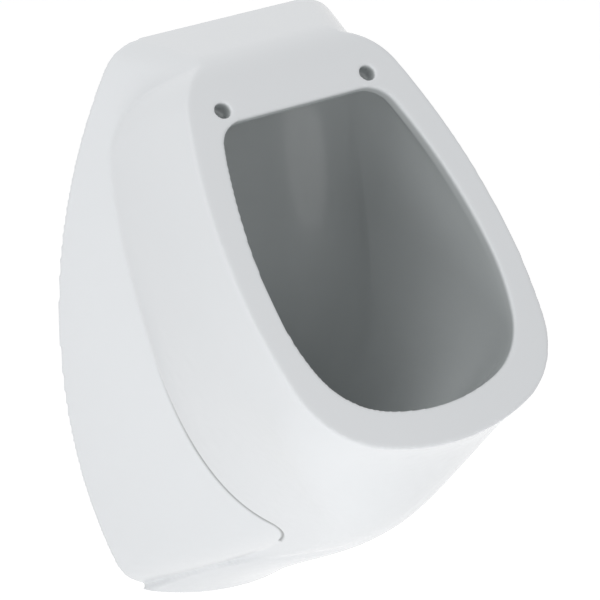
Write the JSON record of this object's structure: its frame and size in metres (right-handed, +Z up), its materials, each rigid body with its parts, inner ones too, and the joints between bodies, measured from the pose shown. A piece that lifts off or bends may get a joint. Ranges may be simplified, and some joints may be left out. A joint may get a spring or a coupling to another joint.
{
  "type": "wall hung urinal",
  "caption": "Wall hung ceramic urinal with a flat back land, sloping oval rim, deep basin, concealed bottle trap and rear flush inlet, carried on wall hooks.",
  "frame": {"origin": "middle of the top edge of the back land, in the plane of the wall", "axes": "+X to the right of a person facing the urinal, +Y into the wall, +Z up"},
  "size_m": [0.3562, 0.3481, 0.541],
  "materials": {
    "glazed_china": "glossy white glaze",
    "black_rubber": "matt moulded",
    "bright_chrome": "polished plate",
    "white_plastic": "moulded",
    "grey_plastic": "moulded",
    "stainless": "brushed",
    "plated_steel": "zinc plated",
    "bare_brass": "turned"
  },
  "bodies": {
    "fixed_body": {"urinal_body": "glazed_china", "waste_top_seal": "black_rubber", "waste_fitting": "bright_chrome", "waste_under_seal": "black_rubber", "waste_slip_washer": "grey_plastic", "waste_lock_nut": "bare_brass", "trap_cap": "white_plastic", "trap_seal": "black_rubber", "trap_cup": "white_plastic", "trap_clamp_ring": "white_plastic", "outlet_pipe": "white_plastic", "outlet_seal": "black_rubber", "outlet_nut": "white_plastic", "inlet_front_seal": "black_rubber", "inlet_spigot": "bare_brass", "inlet_back_seal": "black_rubber", "inlet_slip_washer": "grey_plastic", "inlet_lock_nut": "bare_brass", "hanger_hooks": "plated_steel", "hanger_pads": "grey_plastic"},
    "lift_out_trap": {"dip_tube": "grey_plastic", "dip_tube_ring": "black_rubber", "strainer": "stainless"},
    "spreader": {"flush_spreader": "bright_chrome", "spreader_ring": "black_rubber"}
  },
  "joints": [
    {"name": "lift_out_trap_slide", "type": "slide", "parent": "fixed_body", "child": "lift_out_trap", "axis": [0, 0, 1], "range_m": [0, 0.06]},
    {"name": "spreader_slide", "type": "slide", "parent": "fixed_body", "child": "spreader", "axis": [0, -1, 0], "range_m": [0, 0.04]}
  ]
}
